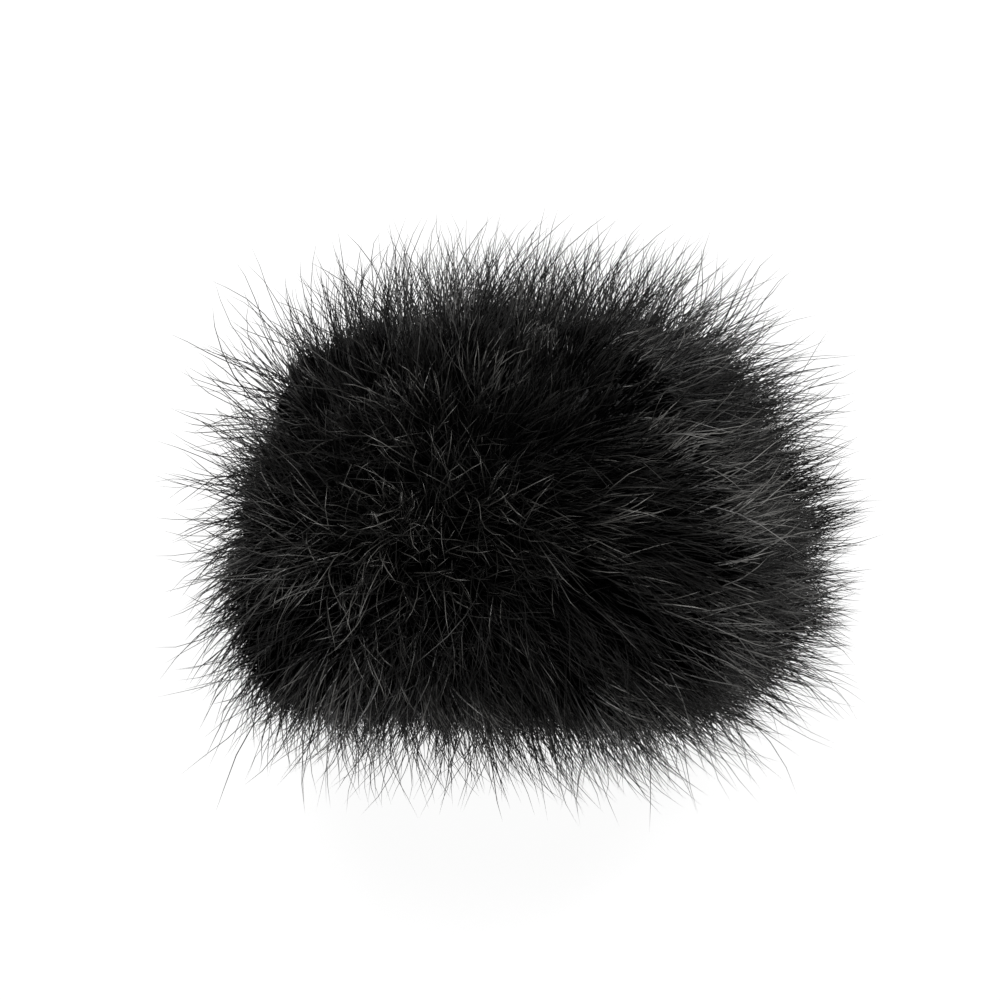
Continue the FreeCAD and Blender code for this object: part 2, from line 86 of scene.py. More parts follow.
class Board:
    """Adds nodes to one tree and joins them."""

    def __init__(self, tree: Tree) -> None:
        """Keep the tree."""
        self.tree = tree

    def feed(self, socket: Socket, feed: Feed) -> None:
        """Give a socket a link or a plain value.

        Args:
            socket: the input.
            feed: an output to link, or a value to set.
        """
        if isinstance(feed, Socket):
            self.tree.links.new(feed, socket)
        else:
            socket.default_value = feed

    def add(self, kind: str, feeds: Mapping[str, Feed] | None = None, **settings: object) -> bpy.types.Node:
        """Add one node.

        Args:
            kind: the node's type.
            feeds: what goes into its inputs, by name.
            settings: the node's own properties.

        Returns:
            The node.
        """
        node = self.tree.nodes.new(kind)
        for name, setting in settings.items():
            setattr(node, name, setting)
        for name, feed in (feeds or {}).items():
            self.feed(self.live(node.inputs, name), feed)
        return node

    @staticmethod
    def live(sockets: Sequence[Socket], name: str) -> Socket:
        """Find the socket of that name that the node's settings leave in use."""
        return next(socket for socket in sockets if socket.enabled and socket.name == name)

    def out(self, kind: str, result: str, feeds: Mapping[str, Feed] | None = None,
            **settings: object) -> Socket:
        """Add one node and take one of its outputs.

        Args:
            kind: the node's type.
            result: the output's name.
            feeds: what goes into its inputs, by name.
            settings: the node's own properties.

        Returns:
            The output.
        """
        return self.live(self.add(kind, feeds, **settings).outputs, result)

    def maths(self, operation: str, *feeds: Feed) -> Socket:
        """Join plain numbers by one operation.

        Args:
            operation: the operation's name.
            feeds: the numbers, in the operation's order.

        Returns:
            The result.
        """
        node = self.tree.nodes.new("ShaderNodeMath")
        node.operation = operation
        for socket, feed in zip(node.inputs, feeds):
            self.feed(socket, feed)
        return node.outputs[0]

    def plus(self, first: Feed, second: Feed) -> Socket:
        """Add two numbers."""
        return self.maths("ADD", first, second)

    def minus(self, first: Feed, second: Feed) -> Socket:
        """Take the second number from the first."""
        return self.maths("SUBTRACT", first, second)

    def times(self, first: Feed, second: Feed) -> Socket:
        """Multiply two numbers."""
        return self.maths("MULTIPLY", first, second)

    def over(self, first: Feed, second: Feed) -> Socket:
        """Divide the first number by the second."""
        return self.maths("DIVIDE", first, second)

    def size(self, number: Feed) -> Socket:
        """Take a number without its sign."""
        return self.maths("ABSOLUTE", number)

    def vector(self, operation: str, *feeds: Feed) -> Socket:
        """Join vectors by one operation.

        Args:
            operation: the operation's name.
            feeds: the vectors, in the operation's order.

        Returns:
            A vector or a number, as the operation gives.
        """
        node = self.tree.nodes.new("ShaderNodeVectorMath")
        node.operation = operation
        for socket, feed in zip([socket for socket in node.inputs if socket.enabled], feeds):
            self.feed(socket, feed)
        return next(socket for socket in node.outputs if socket.enabled)

    def scaled(self, vector: Feed, *factors: Feed) -> Socket:
        """Scale a vector by the product of several numbers.

        Args:
            vector: the vector.
            factors: the numbers.

        Returns:
            The scaled vector.
        """
        factor = factors[0]
        for other in factors[1:]:
            factor = self.times(factor, other)
        feeds = {"Vector": vector, "Scale": factor}
        return self.out("ShaderNodeVectorMath", "Vector", feeds, operation="SCALE")

    def total(self, *vectors: Feed) -> Socket:
        """Add up several vectors.

        Args:
            vectors: the vectors.

        Returns:
            Their sum.
        """
        result = self.vector("ADD", vectors[0], vectors[1])
        for vector in vectors[2:]:
            result = self.vector("ADD", result, vector)
        return result

    def ramp(self, number: Feed, start: Feed, stop: Feed, low: Feed = 0.0, high: Feed = 1.0) -> Socket:
        """Turn a number into a smooth step from low to high."""
        feeds = {"Value": number, "From Min": start, "From Max": stop, "To Min": low, "To Max": high}
        return self.out("ShaderNodeMapRange", "Result", feeds, interpolation_type="SMOOTHSTEP")

    def blend(self, share: Feed, low: Feed, high: Feed) -> Socket:
        """Go from low to high by a share from 0 to 1."""
        feeds = {"Value": share, "From Min": 0.0, "From Max": 1.0, "To Min": low, "To Max": high}
        return self.out("ShaderNodeMapRange", "Result", feeds)

    def axes(self, vector: Feed) -> tuple[Socket, Socket, Socket]:
        """Split a vector."""
        outputs = self.add("ShaderNodeSeparateXYZ", {"Vector": vector}).outputs
        return outputs[0], outputs[1], outputs[2]

    def joined(self, x: Feed, y: Feed, z: Feed) -> Socket:
        """Make a vector of three numbers."""
        return self.out("ShaderNodeCombineXYZ", "Vector", {"X": x, "Y": y, "Z": z})


class GroupBoard(Board):
    """A board for a node group with named sockets."""

    def __init__(self, name: str, kind: str, inputs: Mapping[str, str], outputs: Mapping[str, str]) -> None:
        """Make the group and its sockets.

        Args:
            name: the group's name.
            kind: the type of its tree.
            inputs: socket types of the named inputs.
            outputs: socket types of the named outputs.
        """
        super().__init__(bpy.data.node_groups.new(name, kind))
        for way, sockets in (("INPUT", inputs), ("OUTPUT", outputs)):
            for label, socket in sockets.items():
                self.tree.interface.new_socket(name=label, in_out=way, socket_type="NodeSocket" + socket)
        self.given = {socket.name: socket for socket in self.tree.nodes.new("NodeGroupInput").outputs}

    def end(self, *feeds: Feed) -> Tree:
        """Feed the group's outputs.

        Args:
            feeds: what goes into them, in order.

        Returns:
            The group's tree.
        """
        for socket, feed in zip(self.tree.nodes.new("NodeGroupOutput").inputs, feeds):
            self.feed(socket, feed)
        return self.tree


class GrowBoard(GroupBoard):
    """A board for Geometry Nodes, with named inputs for the sizes."""

    KINDS = {float: "Float", int: "Int", tuple: "Vector"}

    def __init__(self, name: str, sizes: Mapping[str, object]) -> None:
        """Make the tree and its sockets.

        Args:
            name: the tree's name.
            sizes: the named inputs with their usual values.
        """
        kinds = {label: self.KINDS[type(usual)] for label, usual in sizes.items()}
        inputs = {"Geometry": "Geometry"} | kinds | {"Material": "Material"}
        super().__init__(name, "GeometryNodeTree", inputs, {"Geometry": "Geometry"})
        for label, usual in sizes.items():
            self.tree.interface.items_tree[label].default_value = usual

    def chance(self, low: Feed, high: Feed, salt: int) -> Socket:
        """Draw a number for each point, from the tree's seed and this draw's own salt."""
        feeds = {"Min": low, "Max": high, "Seed": self.plus(self.given["Seed"], float(salt))}
        return self.out("FunctionNodeRandomValue", "Value", feeds, data_type="FLOAT")

    def keep(self, geometry: Socket, name: str, values: Feed, kind: str = "FLOAT_VECTOR",
             domain: str = "POINT") -> Socket:
        """Store a named attribute and pass the geometry on."""
        feeds = {"Geometry": geometry, "Name": name, "Value": values}
        return self.out("GeometryNodeStoreNamedAttribute", "Geometry", feeds, data_type=kind, domain=domain)

    def kept(self, name: str) -> Socket:
        """Read a named vector attribute."""
        kind = "FLOAT_VECTOR"
        return self.out("GeometryNodeInputNamedAttribute", "Attribute", {"Name": name}, data_type=kind)

    def bent(self, rise: Feed, angle: Feed, bend: Feed) -> tuple[Socket, Socket]:
        """Follow a hair of unit length that starts at one slope and bends evenly to another.

        Args:
            rise: slope at the root, from the ground, in radians.
            angle: slope at the place asked for.
            bend: how much the slope changes over the whole hair.

        Returns:
            How far that place is off the ground and along it.
        """
        up = self.minus(self.maths("COSINE", rise), self.maths("COSINE", angle))
        on = self.minus(self.maths("SINE", angle), self.maths("SINE", rise))
        return self.over(up, bend), self.over(on, bend)

    def smooth(self, geometry: Socket) -> Socket:
        """Shade a geometry smooth."""
        feeds = {"Geometry": geometry, "Shade Smooth": True}
        return self.out("GeometryNodeSetShadeSmooth", "Geometry", feeds)

    def realized(self, geometry: Socket) -> Socket:
        """Turn instances into a plain mesh."""
        return self.out("GeometryNodeRealizeInstances", "Geometry", {"Geometry": geometry})

    def finish(self, geometry: Socket) -> Tree:
        """End the tree in Realize Instances and Set Material.

        Args:
            geometry: what the tree has made.

        Returns:
            The tree.
        """
        feeds = {"Geometry": self.realized(geometry), "Material": self.given["Material"]}
        return self.end(self.out("GeometryNodeSetMaterial", "Geometry", feeds))


def new_piece(name: str, data: bpy.types.ID) -> Piece:
    """Put a mesh, lamp or camera into the scene.

    Args:
        name: the object's name.
        data: what it holds.

    Returns:
        The object.
    """
    piece = bpy.data.objects.new(name, data)
    bpy.context.scene.collection.objects.link(piece)
    return piece


def merged(nodes: Sequence[str]) -> bmesh.types.BMesh:
    """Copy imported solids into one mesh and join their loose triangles.

    Args:
        nodes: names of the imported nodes.

    Returns:
        The mesh, to be edited and freed.
    """
    shell = bmesh.new()
    for node in nodes:
        shell.from_mesh(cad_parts[node].data)
    bmesh.ops.remove_doubles(shell, verts=shell.verts, dist=SAME_PLACE)
    return shell


def set_down(shell: bmesh.types.BMesh, name: str) -> Mesh:
    """Turn an edited mesh into mesh data and free it.

    Args:
        shell: the edited mesh.
        name: the data's name.

    Returns:
        The mesh data.
    """
    mesh = bpy.data.meshes.new(name)
    shell.to_mesh(mesh)
    shell.free()
    return mesh


def evaluated(piece: Piece) -> Mesh:
    """Take a piece's mesh as its modifiers leave it.

    Args:
        piece: the object.

    Returns:
        A new mesh.
    """
    graph = bpy.context.evaluated_depsgraph_get()
    shown = piece.evaluated_get(graph)
    return bpy.data.meshes.new_from_object(shown, preserve_all_data_layers=True, depsgraph=graph)


def grow(piece: Piece, tree: Tree, sizes: Mapping[str, object]) -> Piece:
    """Run a Geometry Nodes tree on a piece and keep the result as its plain mesh.

    Args:
        piece: the object, whose mesh the tree starts from.
        tree: the tree.
        sizes: values of the tree's named inputs.

    Returns:
        The same object, with no modifier left.
    """
    modifier = piece.modifiers.new("grow", "NODES")
    modifier.node_group = tree
    for item in tree.interface.items_tree:
        if item.item_type == "SOCKET" and item.in_out == "INPUT" and item.name in sizes:
            modifier[item.identifier] = sizes[item.name]
    made = evaluated(piece)
    piece.modifiers.remove(modifier)
    made.name = piece.name
    piece.data = made
    return piece


def labelled(record: object, *left_out: str) -> dict[str, object]:
    """Give a record's fields under the labels of a tree's inputs.

    Args:
        record: a dataclass.
        left_out: fields that are no inputs.

    Returns:
        The values by label, such as "Lay Spread" for lay_spread.
    """
    fields = {name: value for name, value in vars(record).items() if name not in left_out}
    return {name.replace("_", " ").title(): value for name, value in fields.items()}


class MaterialBoard(Board):
    """A board for a material."""

    def __init__(self, name: str) -> None:
        """Make the material and clear its nodes.

        Args:
            name: the material's name.
        """
        self.material = bpy.data.materials.new(name)
        self.material.use_nodes = True
        self.material.node_tree.nodes.clear()
        super().__init__(self.material.node_tree)

    def use(self, group: Tree, feeds: Mapping[str, Feed]) -> bpy.types.NodeOutputs:
        """Put a shared group into the material with its own values.

        Args:
            group: the group.
            feeds: what goes into its inputs.

        Returns:
            The group's outputs.
        """
        return self.add("ShaderNodeGroup", feeds, node_tree=group).outputs

    def pressed(self, height: Feed, relief: float) -> Socket:
        """Press a height into the surface's normal."""
        return self.out("ShaderNodeBump", "Normal", {"Height": height, "Distance": relief, "Strength": 1.0})

    def surface(self, shader: Socket) -> Material:
        """Give the material with its shader in place."""
        self.add("ShaderNodeOutputMaterial", {"Surface": shader})
        return self.material

    def principled(self, feeds: Mapping[str, Feed]) -> Material:
        """Give the material with one Principled BSDF, fed by name."""
        return self.surface(self.out("ShaderNodeBsdfPrincipled", "BSDF", feeds))


@dataclass(frozen=True)
class HairFinish:
    """Glossy black modacrylic hair, a share of whose strands is painted paler as a highlight."""

    name: str
    root: Colour
    tip: Colour
    roughness: float
    rough_spread: float
    dull: float
    gloss: float
    pale_share: float
    dark_root: float = 0.25
    least_pale: float = 0.05
    mixing: float = 37.0

    def material(self) -> Material:
        """Build the material from the strand's own map, root to tip and strand by strand.

        Returns:
            The material.
        """
        board = MaterialBoard(self.name)
        along, strand, _ = board.axes(board.out("ShaderNodeUVMap", "UV", uv_map="OFBake"))
        # the paler strands are a painted highlight in the base colour, standing in for lit strands; the same
        # share gets real gloss in the specular level
        pale = board.ramp(strand, 1.0 - self.pale_share, 1.0)
        share = board.times(board.ramp(along, self.dark_root, 1.0), board.plus(self.least_pale, pale))
        wander = board.maths("FRACT", board.times(strand, self.mixing))
        feeds = {"Factor": share, "A": self.root, "B": self.tip}
        return board.principled({
            "Base Color": board.out("ShaderNodeMix", "Result", feeds, data_type="RGBA"),
            "Roughness": board.blend(wander, self.roughness, self.roughness + self.rough_spread),
            "Specular IOR Level": board.blend(pale, self.dull, self.gloss),
        })


@dataclass(frozen=True)
class Coat:
    """One coat of hair, with the sizes that its tree takes."""

    name: str
    finish: HairFinish
    density: float
    segments: int
    length: float
    shorter: float
    width: float
    rise: float
    lay: float
    lay_spread: float
    turn: float
    stray: float
    tuft: float
    pull: float
    wave: float
    trimmed: float
    seed: int

    def sizes(self) -> dict[str, object]:
        """Give the named inputs of the tree."""
        return labelled(self, "name", "finish")


@dataclass(frozen=True)
class Groom:
    """How every coat is combed and trimmed: in metres, radians and shares."""

    # the block inside the cover that the ground faces away from
    core_low: Triple = (-12 * MM, -6 * MM, -1.0)
    core_high: Triple = (12 * MM, 6 * MM, 46 * MM)
    whorl: Triple = (-8 * MM, -2 * MM, 64 * MM)
    # how far tips may reach, and one over the ground's half sizes
    reach: Triple = (50.8 * MM, 46.9 * MM, 83.4 * MM)
    corner_scale: Triple = (1 / (31.4 * MM), 1 / (25.4 * MM), 0.0)
    lowest_root: float = 1.5 * MM
    # turns of the nap: slow drift, and ruffled hair near the whorl
    drift_scale: float = 55.0
    swing: float = 2.2
    ruffle: float = 4.0
    ruffle_from: float = 4 * MM
    ruffle_to: float = 24 * MM
    # hair that stands up at the whorl and swings out at the foot
    whorl_stand: float = 0.6
    whorl_to: float = 12 * MM
    foot_stand: float = 0.85
    foot_from: float = 1 * MM
    foot_to: float = 17 * MM
    standing_lay: float = 1.15
    standing_rise: float = 1.45
    least_bend: float = -0.08
    # shares of the length cut away: front corners stay fuller, and no place loses more than most_cut
    front_fullness: float = 0.86
    narrow_trim: float = 0.26
    end_trim: float = 0.37
    left_back_trim: float = 0.26
    most_cut_foot: float = 0.4
    most_cut_crown: float = 0.64
    most_cut_from: float = 6 * MM
    most_cut_to: float = 26 * MM
    # a hair's swell from its root, and how softly it meets the table
    taper: float = 3.0
    floor_low: float = 0.3 * MM
    floor_high: float = 1.6 * MM
    floor_softness: float = 1.5 * MM


class HairTree(GrowBoard):
    """The tree that grows one coat of hair on the knit ground."""

    # ranges that single hairs draw from
    RISE_DRAW = (-0.12, 0.2)
    LAY_DRAW = (-0.35, 1.0)
    REACH_DRAW = (0.95, 1.0)
    WIDTH_DRAW = (0.75, 1.2)
    PHASE_DRAW = (0.0, 6.28)
    # what a tuft's draw does
    TUFT_LAY = 0.8
    TUFT_STRAND = 0.45
    WIDTH_BY_STRAND = (0.8, 1.3)
    # along one hair
    WAVE_ANGLE = 4.2
    PULL_POWER = 1.6
    # the strand's map
    MAP_EDGES = (0.01, 0.99)
    MAP_WIDTH = 0.002

    def __init__(self, usual: Coat, groom: Groom) -> None:
        """Start the tree and read the ground and the tuft at each root.

        Args:
            usual: the coat whose sizes are the inputs' usual values.
            groom: how every coat is combed and trimmed.
        """
        super().__init__("hair_coat", usual.sizes() | labelled(groom))
        given = self.given
        self.root = self.out("GeometryNodeInputPosition", "Position")
        self.height = self.axes(self.root)[2]
        # which way the ground faces, smoothed over the gores' creases
        core = self.vector("MAXIMUM", self.root, given["Core Low"])
        core = self.vector("MINIMUM", core, given["Core High"])
        self.normal = self.vector("NORMALIZE", self.vector("SUBTRACT", self.root, core))
        # the nap runs from the whorl down to the mouth
        away_x, away_y, _ = self.axes(self.vector("SUBTRACT", self.root, given["Whorl"]))
        flat = self.joined(away_x, away_y, 0.0)
        self.off_whorl = self.vector("LENGTH", flat)
        fall = self.vector("ADD", self.vector("NORMALIZE", flat), (0.0, 0.0, -1.0))
        lift = self.scaled(self.normal, self.vector("DOT_PRODUCT", fall, self.normal))
        self.nap = self.vector("NORMALIZE", self.vector("SUBTRACT", fall, lift))
        # the hairs of a tuft share its draws and lean to its middle
        feeds = {"Vector": self.root, "Scale": self.over(1.0, given["Tuft"]), "Randomness": 1.0}
        tuft = self.add("ShaderNodeTexVoronoi", feeds).outputs
        self.tuft_draw, self.lay_draw, _ = self.axes(tuft["Color"])
        self.middle = self.vector("SUBTRACT", tuft["Position"], self.root)

    def build(self) -> Tree:
        """Scatter the roots, plan each hair there and grow it.

        Returns:
            The tree.
        """
        given = self.given
        scattered = self.out("GeometryNodeDistributePointsOnFaces", "Points", {
            "Mesh": given["Geometry"], "Density": given["Density"], "Seed": given["Seed"]})
        too_low = self.out("FunctionNodeCompare", "Result", {"A": self.height, "B": given["Lowest Root"]},
                           operation="LESS_THAN", data_type="FLOAT")
        points = self.out("GeometryNodeDeleteGeometry", "Geometry", {
            "Geometry": scattered, "Selection": too_low}, domain="POINT")
        heading = self.heading()
        rise, bend = self.slopes()
        length = self.length(rise, bend, heading)
        # the strand's draw, shared in part by its tuft, later picks the strands that the material paints
        # paler as a highlight
        strand = self.blend(self.TUFT_STRAND, self.chance(0.0, 1.0, 6), self.tuft_draw)
        own_width = self.times(self.chance(*self.WIDTH_DRAW, 8), self.blend(strand, *self.WIDTH_BY_STRAND))
        plan = {
            "root": self.root,
            "normal_way": self.normal,
            "heading": heading,
            "middle": self.middle,
            "curl": self.joined(length, rise, bend),
            "draws": self.joined(strand, self.chance(*self.PHASE_DRAW, 7), own_width),
        }
        for name, values in plan.items():
            points = self.keep(points, name, values)
        blank = self.out("GeometryNodeMeshCone", "Mesh", {
            "Vertices": 3, "Side Segments": given["Segments"], "Fill Segments": 1, "Radius Top": 0.0,
            "Radius Bottom": 1.0, "Depth": 1.0}, fill_type="NGON")
        blank = self.keep(blank, "blank", self.out("GeometryNodeInputPosition", "Position"))
        hairs = self.out("GeometryNodeInstanceOnPoints", "Instances", {"Points": points, "Instance": blank})
        hairs = self.shaped(self.realized(hairs))
        for name in (*plan, "blank"):
            hairs = self.out("GeometryNodeRemoveAttribute", "Geometry", {"Geometry": hairs, "Name": name})
        return self.finish(hairs)

    def heading(self) -> Socket:
        """Turn the nap by a slow drift, by the tuft and by the hair's own stray.

        Returns:
            Which way each hair leans over the ground.
        """
        given = self.given
        drift = self.out("ShaderNodeTexNoise", "Fac", {
            "Vector": self.root, "Scale": given["Drift Scale"], "Detail": 1.0})
        swing = self.times(self.minus(drift, 0.5), given["Swing"])
        tuft_turn = self.times(self.minus(self.tuft_draw, 0.5), given["Turn"])
        ruffled = self.ramp(self.off_whorl, given["Ruffle From"], given["Ruffle To"], given["Ruffle"], 0.0)
        own_draw = self.plus(self.chance(-0.5, 0.5, 1), self.chance(-0.5, 0.5, 2))
        own_turn = self.times(self.plus(given["Stray"], ruffled), own_draw)
        turn = self.plus(self.plus(swing, tuft_turn), own_turn)
        across = self.vector("CROSS_PRODUCT", self.normal, self.nap)
        return self.total(self.scaled(self.nap, self.maths("COSINE", turn)),
                          self.scaled(across, self.maths("SINE", turn)))

    def slopes(self) -> tuple[Socket, Socket]:
        """Let hair stand up at the whorl and swing out over the table.

        Returns:
            The slope at the root, from the ground, and how much it changes up to the tip.
        """
        given = self.given
        standing = self.ramp(self.off_whorl, 0.0, given["Whorl To"], given["Whorl Stand"], 0.0)
        splay = self.ramp(self.height, given["Foot From"], given["Foot To"], 1.0, 0.0)
        upright = self.maths("MAXIMUM", standing, self.times(splay, given["Foot Stand"]))
        tuft_lay = self.times(self.minus(self.lay_draw, 0.5), self.TUFT_LAY)
        draw = self.plus(self.chance(*self.LAY_DRAW, 3), tuft_lay)
        own_lay = self.plus(given["Lay"], self.times(given["Lay Spread"], draw))
        lay = self.blend(upright, own_lay, self.maths("MAXIMUM", own_lay, given["Standing Lay"]))
        own_rise = self.plus(given["Rise"], self.chance(*self.RISE_DRAW, 4))
        rise = self.blend(upright, own_rise, given["Standing Rise"])
        return rise, self.maths("MINIMUM", self.minus(lay, rise), given["Least Bend"])

    def cut_away(self) -> Socket:
        """Trim the cover's corners and ends.

        Returns:
            The share of its length that each hair loses.
        """
        given = self.given
        x, y, _ = self.axes(self.vector("MULTIPLY", self.root, given["Corner Scale"]))
        wide, deep = self.size(x), self.size(y)
        fuller = self.times(given["Front Fullness"], self.times(wide, y))
        trim = self.times(given["Narrow Trim"], deep)
        left_back = self.times(self.maths("MAXIMUM", self.times(x, -1.0), 0.0), self.maths("MAXIMUM", y, 0.0))
        trim = self.plus(trim, self.times(given["Left Back Trim"], left_back))
        halfway = self.times(wide, self.minus(1.0, wide))
        near_ends = self.times(halfway, self.times(deep, 4.0))
        trim = self.plus(trim, self.times(given["End Trim"], near_ends))
        most = self.ramp(self.height, given["Most Cut From"], given["Most Cut To"],
                         given["Most Cut Foot"], given["Most Cut Crown"])
        return self.times(given["Trimmed"], self.maths("MINIMUM", self.plus(fuller, trim), most))

    def length(self, rise: Socket, bend: Socket, heading: Socket) -> Socket:
        """Draw a length, trim it and keep the tip within reach.

        Args:
            rise: slope at the root.
            bend: how much the slope changes up to the tip.
            heading: which way the hair leans.

        Returns:
            The hair's length.
        """
        given = self.given
        shorter = self.times(given["Shorter"], self.maths("SQRT", self.chance(0.0, 1.0, 5)))
        length = self.times(given["Length"], self.minus(1.0, shorter))
        length = self.times(length, self.minus(1.0, self.cut_away()))
        up, on = self.bent(rise, self.plus(rise, bend), bend)
        tip = self.total(self.scaled(self.normal, length, up), self.scaled(heading, length, on))
        span = self.vector("MAXIMUM", self.vector("ABSOLUTE", tip), (SAME_PLACE,) * 3)
        own_reach = self.scaled(given["Reach"], self.chance(*self.REACH_DRAW, 9))
        room = self.vector("SUBTRACT", own_reach, self.vector("ABSOLUTE", self.root))
        share = self.axes(self.vector("DIVIDE", room, span))
        short = self.maths("MINIMUM", share[0], share[1])
        return self.times(length, self.maths("MINIMUM", short, self.maths("MINIMUM", share[2], 1.0)))

    def shaped(self, hairs: Socket) -> Socket:
        """Bend each blank into its hair and lay out the strand's map.

        Args:
            hairs: realized blanks that carry their root's attributes.

        Returns:
            The bent hairs, shaded smooth.
        """
        given = self.given
        ring_x, ring_y, along = self.axes(self.kept("blank"))
        length, rise, bend = self.axes(self.kept("curl"))
        strand, phase, own_width = self.axes(self.kept("draws"))
        normal, heading = self.kept("normal_way"), self.kept("heading")
        across = self.vector("CROSS_PRODUCT", normal, heading)
        angle = self.plus(rise, self.times(bend, along))
        up, on = self.bent(rise, angle, bend)
        wave = self.maths("SINE", self.plus(phase, self.times(along, self.WAVE_ANGLE)))
        sway = self.times(self.minus(wave, self.maths("SINE", phase)), self.times(given["Wave"], along))
        lean = self.maths("POWER", along, self.PULL_POWER)
        line = self.total(
            self.kept("root"),
            self.scaled(normal, length, up),
            self.scaled(heading, length, on),
            self.scaled(across, length, sway),
            self.scaled(self.kept("middle"), given["Pull"], lean),
        )
        ahead = self.total(self.scaled(normal, self.maths("SINE", angle)),
                           self.scaled(heading, self.maths("COSINE", angle)))
        third = self.vector("CROSS_PRODUCT", ahead, across)
        swell = self.plus(1.0, self.times(self.times(along, along), given["Taper"]))
        girth = self.times(self.times(given["Width"], own_width), swell)
        ring = (self.scaled(across, girth, ring_x), self.scaled(third, girth, ring_y))
        x, y, z = self.axes(self.total(line, *ring))
        # no hair goes through the table
        floor = self.blend(strand, given["Floor Low"], given["Floor High"])
        place = self.joined(x, y, self.maths("SMOOTH_MAX", z, floor, given["Floor Softness"]))
        hairs = self.out("GeometryNodeSetPosition", "Geometry", {"Geometry": hairs, "Position": place})
        chart = self.joined(self.blend(along, *self.MAP_EDGES), self.blend(strand, *self.MAP_EDGES), 0.0)
        chart = self.total(chart, self.joined(0.0, self.times(ring_x, self.MAP_WIDTH), 0.0))
        return self.keep(self.smooth(hairs), "OFBake", chart, "FLOAT2", "CORNER")


class Hold(Enum):
    """How a cloth is held in the cover."""

    STRETCHED = "stretched"
    GATHERED = "gathered"


@dataclass(frozen=True)
class Cut:
    """The flat size that a piece of cloth is cut to before it is sewn."""

    width: float
    length: float
    area: float

    def declare(self, cloth: Piece, hold: Hold, over: Sequence[str],
                carries: Sequence[Piece]) -> None:
        """Do nothing with a piece said to be this cut of cloth.

        Args:
            cloth: the piece; not used.
            hold: how it is held; not used.
            over: names of what lies under it; not used.
            carries: the pieces that are sewn to it or rooted in it; not used.
        """


@dataclass(frozen=True)
class FurCover:
    """The four gores of long fur, grown hair by hair on the knit ground."""

    coats: tuple[Coat, ...]
    groom: Groom = Groom()
    seam: float = math.radians(38.0)
    hem_top: float = 9.6 * MM
    hem_outside: float = 18.5 * MM
    wide_gore: Cut = Cut(58 * MM, 66 * MM, 0.003169)
    narrow_gore: Cut = Cut(37 * MM, 75 * MM, 0.002583)

    def roots(self, side: Side) -> Mesh:
        """Copy the outward faces of one gore's knit ground and of the hem below it.

        Args:
            side: the gore.

        Returns:
            A mesh that the hair is rooted on.
        """
        shell = merged(["backing_" + side.value, "hem_tunnel"])
        low, high = self.groom.core_low, self.groom.core_high
        unwanted = []
        for face in shell.faces:
            middle = face.calc_center_median()
            away = middle - Vector(max(min(p, b), a) for p, a, b in zip(middle, low, high))
            outward = face.normal.dot(away.normalized())
            inside_hem = middle.z < self.hem_top and away.length < self.hem_outside
            if outward < 0.5 or inside_hem or not side.holds(middle.x, middle.y, self.seam):
                unwanted.append(face)
        bmesh.ops.delete(shell, geom=unwanted, context="FACES")
        return set_down(shell, "roots_" + side.value)

    def make(self) -> list[Piece]:
        """Grow every coat on every gore.

        Returns:
            The pieces of fur.
        """
        tree = HairTree(self.coats[0], self.groom).build()
        made = []
        for coat in self.coats:
            material = coat.finish.material()
            for number, side in enumerate(Side):
                piece = new_piece("%s_%s" % (coat.name, side.value), self.roots(side))
                sizes = coat.sizes() | {"Material": material, "Seed": coat.seed + 10 * number}
                grow(piece, tree, sizes)
                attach(piece, "cover")
                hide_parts("pile_" + side.value)
                made.append(piece)
        for side in Side:
            wide = side in (Side.FRONT, Side.BACK)
            linings = ["lining_" + side.value] if wide else ["lining_front", "lining_back"]
            hair = [piece for piece in made if piece.name.endswith("_" + side.value)]
            cut = self.wide_gore if wide else self.narrow_gore
            cut.declare(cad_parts["backing_" + side.value], Hold.STRETCHED, linings, hair)
        return made


class Cloth(Enum):
    """How a cloth is made."""

    WOVEN = 0.0
    RIBBED = 1.0


@cache
def threads() -> Tree:
    """Weave or rib a cloth on each side that it faces.

    Returns:
        A shared group, which gives a height and a mask of the gaps.
    """
    inputs = {"Place": "Vector", "Facing": "Vector", "Thread": "Float", "Rib": "Float"}
    board = GroupBoard("threads", "ShaderNodeTree", inputs, {"Height": "Float", "Gap": "Float"})
    given = board.given
    turns = board.scaled(given["Place"], board.over(math.pi, given["Thread"]))
    waves = [board.maths("SINE", axis) for axis in board.axes(turns)]
    sides = []
    for index, weight in enumerate(board.axes(board.vector("MULTIPLY", given["Facing"], given["Facing"]))):
        first, second = (waves[other] for other in range(3) if other != index)
        cloth = board.blend(given["Rib"], board.times(first, second), board.size(first))
        sides.append(board.times(cloth, board.maths("POWER", weight, 2.0)))
    height = board.plus(board.plus(sides[0], sides[1]), sides[2])
    return board.end(height, board.ramp(board.size(height), 0.25, 0.0))


@cache
def speckle() -> Tree:
    """Lay fine grain over a slow unevenness.

    Returns:
        A shared group, which gives a height and a shade.
    """
    inputs = {"Place": "Vector", "Grain": "Float", "Patch": "Float"}
    board = GroupBoard("speckle", "ShaderNodeTree", inputs, {"Height": "Float", "Shade": "Float"})
    fine, slow = (board.out("ShaderNodeTexNoise", "Fac", {
        "Vector": board.given["Place"], "Scale": board.over(1.0, board.given[size]), "Detail": detail})
        for size, detail in (("Grain", 3.0), ("Patch", 2.0)))
    return board.end(fine, board.blend(slow, 0.75, 1.25))


